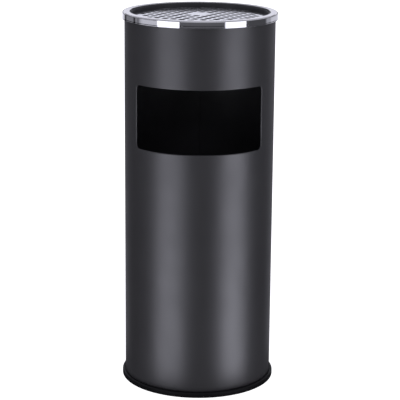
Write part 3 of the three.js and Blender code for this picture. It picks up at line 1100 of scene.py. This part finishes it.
def pale_floor():
    """The white floor, lit evenly and left out of reflections."""
    floor = Surface("floor_white", (0.85, 0.85, 0.86), 0.9, 0.0, specular=0.1)
    floor.shader.inputs["Emission Color"].default_value = (1, 1, 1, 1)
    floor.shader.inputs["Emission Strength"].default_value = 1.0
    ground_sheet("floor", 12000, floor.material, -0.0003).visible_glossy = False


class Sky(NodeTree):
    """The studio round the object, as light by direction: panels in a dark room."""

    def __init__(self):
        world = bpy.data.worlds.new("studio")
        super().__init__(world)
        bpy.context.scene.world = world
        split = self.nodes.new("ShaderNodeSeparateXYZ")
        self.link(self.nodes.new("ShaderNodeTexCoord").outputs["Generated"], split.inputs[0])
        flipped = self.math("MULTIPLY", split.outputs["Y"], -1.0)
        self.azimuth = self.math("ARCTAN2", split.outputs["X"], flipped)
        self.elevation = self.math("ARCSINE", split.outputs["Z"])
        self.total = None

    def times(self, first, second, third):
        """The product of three."""
        return self.math("MULTIPLY", self.math("MULTIPLY", first, second), third)

    def edge(self, value, start, end):
        """Rises smoothly from 0 to 1 as the value, in radians, goes from start to end degrees."""
        step = self.nodes.new("ShaderNodeMapRange")
        step.interpolation_type = "SMOOTHSTEP"
        step.inputs["From Min"].default_value = math.radians(start)
        step.inputs["From Max"].default_value = math.radians(end)
        self.link(value, step.inputs["Value"])
        return step.outputs["Result"]

    def band(self, value, low, high, soft):
        """1 between low and high degrees, fading to 0 over soft degrees on each side."""
        rise = self.edge(value, low - soft, low)
        fall = self.edge(value, high, high + soft)
        return self.math("SUBTRACT", rise, fall)

    def panel(self, azimuths, elevations, strength, soft_across=2.0, soft_up=6.0):
        """Adds light between these azimuths (0 is in front, 90 on the right) and elevations."""
        across = self.band(self.azimuth, *azimuths, soft_across)
        up = self.band(self.elevation, *elevations, soft_up)
        self.add(self.times(across, up, strength))

    def add(self, light):
        self.total = light if self.total is None else self.math("ADD", self.total, light)

    def finish(self, backdrop, tint):
        """The camera sees an even backdrop, and the object sees the panels."""
        background = self.nodes["Background"]
        background.inputs["Color"].default_value = (*tint, 1)
        path = self.nodes.new("ShaderNodeLightPath")
        mix = self.nodes.new("ShaderNodeMix")
        self.link(path.outputs["Is Camera Ray"], mix.inputs["Factor"])
        self.link(self.total, mix.inputs["A"])
        mix.inputs["B"].default_value = backdrop
        self.link(mix.outputs["Result"], background.inputs["Strength"])


def front_softboxes(sky):
    """Two softboxes, left and right of the camera, and the dim gap between them.

    The rim's skirt reflects their upper parts, which are the narrower, and the painted wall the lower.
    """
    split = -11.2
    for skirt_azimuths, wall_azimuths, wall_strength in (
        ((-63, -30.5), (-65, -25.5), 6.4),
        ((38.8, 70.8), (38.5, 75.5), 8.3),
    ):
        sky.panel(skirt_azimuths, (split, 6), 1.7, soft_up=1.5)
        sky.panel(wall_azimuths, (-40, split - 1.5), wall_strength, soft_up=1.5)
    gap = (-27, 38)
    sky.panel(gap, (-40, 40), 0.05)
    sky.panel(gap, (-4.5, 20), 0.10, soft_up=3.0)
    sky.panel((75, 114), (-40, 40), 0.07)


def side_strips(sky):
    """Low strips round the sides and back: azimuths, strength and softness of each."""
    for azimuths, strength, soft in (
        ((-92, -65), 0.63, 16),
        ((-109, -106), 0.24, 3),
        ((-138, -116), 0.23, 3),
        ((-180, -156), 0.77, 14),
        ((118, 126), 0.40, 6),
        ((132, 180), 0.68, 6),
    ):
        sky.panel(azimuths, (-8.8, -4.5), strength, soft_across=soft, soft_up=1.0)


def rear_screen_and_ceiling(sky):
    """A screen behind, in a low and a high part, and a dim ceiling that comes lower in front."""
    behind = sky.math("SUBTRACT", 1.0, sky.band(sky.azimuth, -130, 130, 25))
    sunk = sky.band(sky.elevation, -40, -13, 2)
    sky.add(sky.times(behind, sunk, 0.45))
    raised = sky.math("SUBTRACT", sky.edge(sky.elevation, 4.7, 6.9), sky.edge(sky.elevation, 13, 17))
    sky.add(sky.times(behind, raised, 0.84))
    overhead = sky.band(sky.elevation, 22, 90, 5)
    in_front = sky.math("SUBTRACT", 1.0, behind)
    lowered = sky.math("MULTIPLY", in_front, sky.band(sky.elevation, 12, 22, 5))
    sky.add(sky.math("MULTIPLY", sky.math("ADD", overhead, lowered), 0.4))


def studio_light():
    sky = Sky()
    front_softboxes(sky)
    side_strips(sky)
    rear_screen_and_ceiling(sky)
    sky.finish(backdrop=1.1, tint=(0.955, 0.955, 1.075))


def reflected_floor_shade():
    """A dark card round the foot that only reflections see: painted shade, standing for the shade a bin
    casts on the floor it is on.
    """
    fade_start, fade_end = 0.12, 0.26  # metres from the axis
    flag = bpy.data.materials.new("painted_floor_shade")
    tree = NodeTree(flag)
    clear = tree.nodes.new("ShaderNodeBsdfTransparent")
    black = tree.nodes["Principled BSDF"]
    black.inputs["Base Color"].default_value = (0.01, 0.01, 0.01, 1)
    fade = tree.nodes.new("ShaderNodeMapRange")
    fade.interpolation_type = "SMOOTHSTEP"
    fade.inputs["From Min"].default_value = fade_start
    fade.inputs["From Max"].default_value = fade_end
    length = tree.nodes.new("ShaderNodeVectorMath")
    length.operation = "LENGTH"
    tree.link(tree.nodes.new("ShaderNodeTexCoord").outputs["Object"], length.inputs[0])
    tree.link(length.outputs["Value"], fade.inputs["Value"])
    mix = tree.nodes.new("ShaderNodeMixShader")
    tree.link(fade.outputs["Result"], mix.inputs["Fac"])
    tree.link(black.outputs["BSDF"], mix.inputs[1])
    tree.link(clear.outputs["BSDF"], mix.inputs[2])
    tree.link(mix.outputs["Shader"], tree.nodes["Material Output"].inputs["Surface"])
    card = ground_sheet("reflected_floor_shade", 350, flag, -0.0002)
    card.visible_camera = False
    card.visible_diffuse = False
    card.visible_shadow = False


def photo_camera():
    """A long lens in front of the window, above the rim and looking down at the bin's middle."""
    location = (0.0251, -2.4502, 0.9277)
    pitch, yaw, roll = math.radians(14.405), math.radians(-0.534), math.radians(0.474)
    data = bpy.data.cameras.new("camera")
    data.sensor_width = 36
    data.lens = 138.25
    data.clip_start = 0.01
    data.clip_end = 100
    camera = bpy.data.objects.new("camera", data)
    turn = Matrix.Rotation(-yaw, 4, "Z") @ Matrix.Rotation(math.pi / 2 - pitch, 4, "X")
    camera.matrix_world = Matrix.Translation(location) @ turn @ Matrix.Rotation(roll, 4, "Z")
    bpy.context.scene.collection.objects.link(camera)
    bpy.context.scene.camera = camera


pale_floor()
reflected_floor_shade()
studio_light()
photo_camera()
bpy.context.scene.view_settings.view_transform = "Standard"
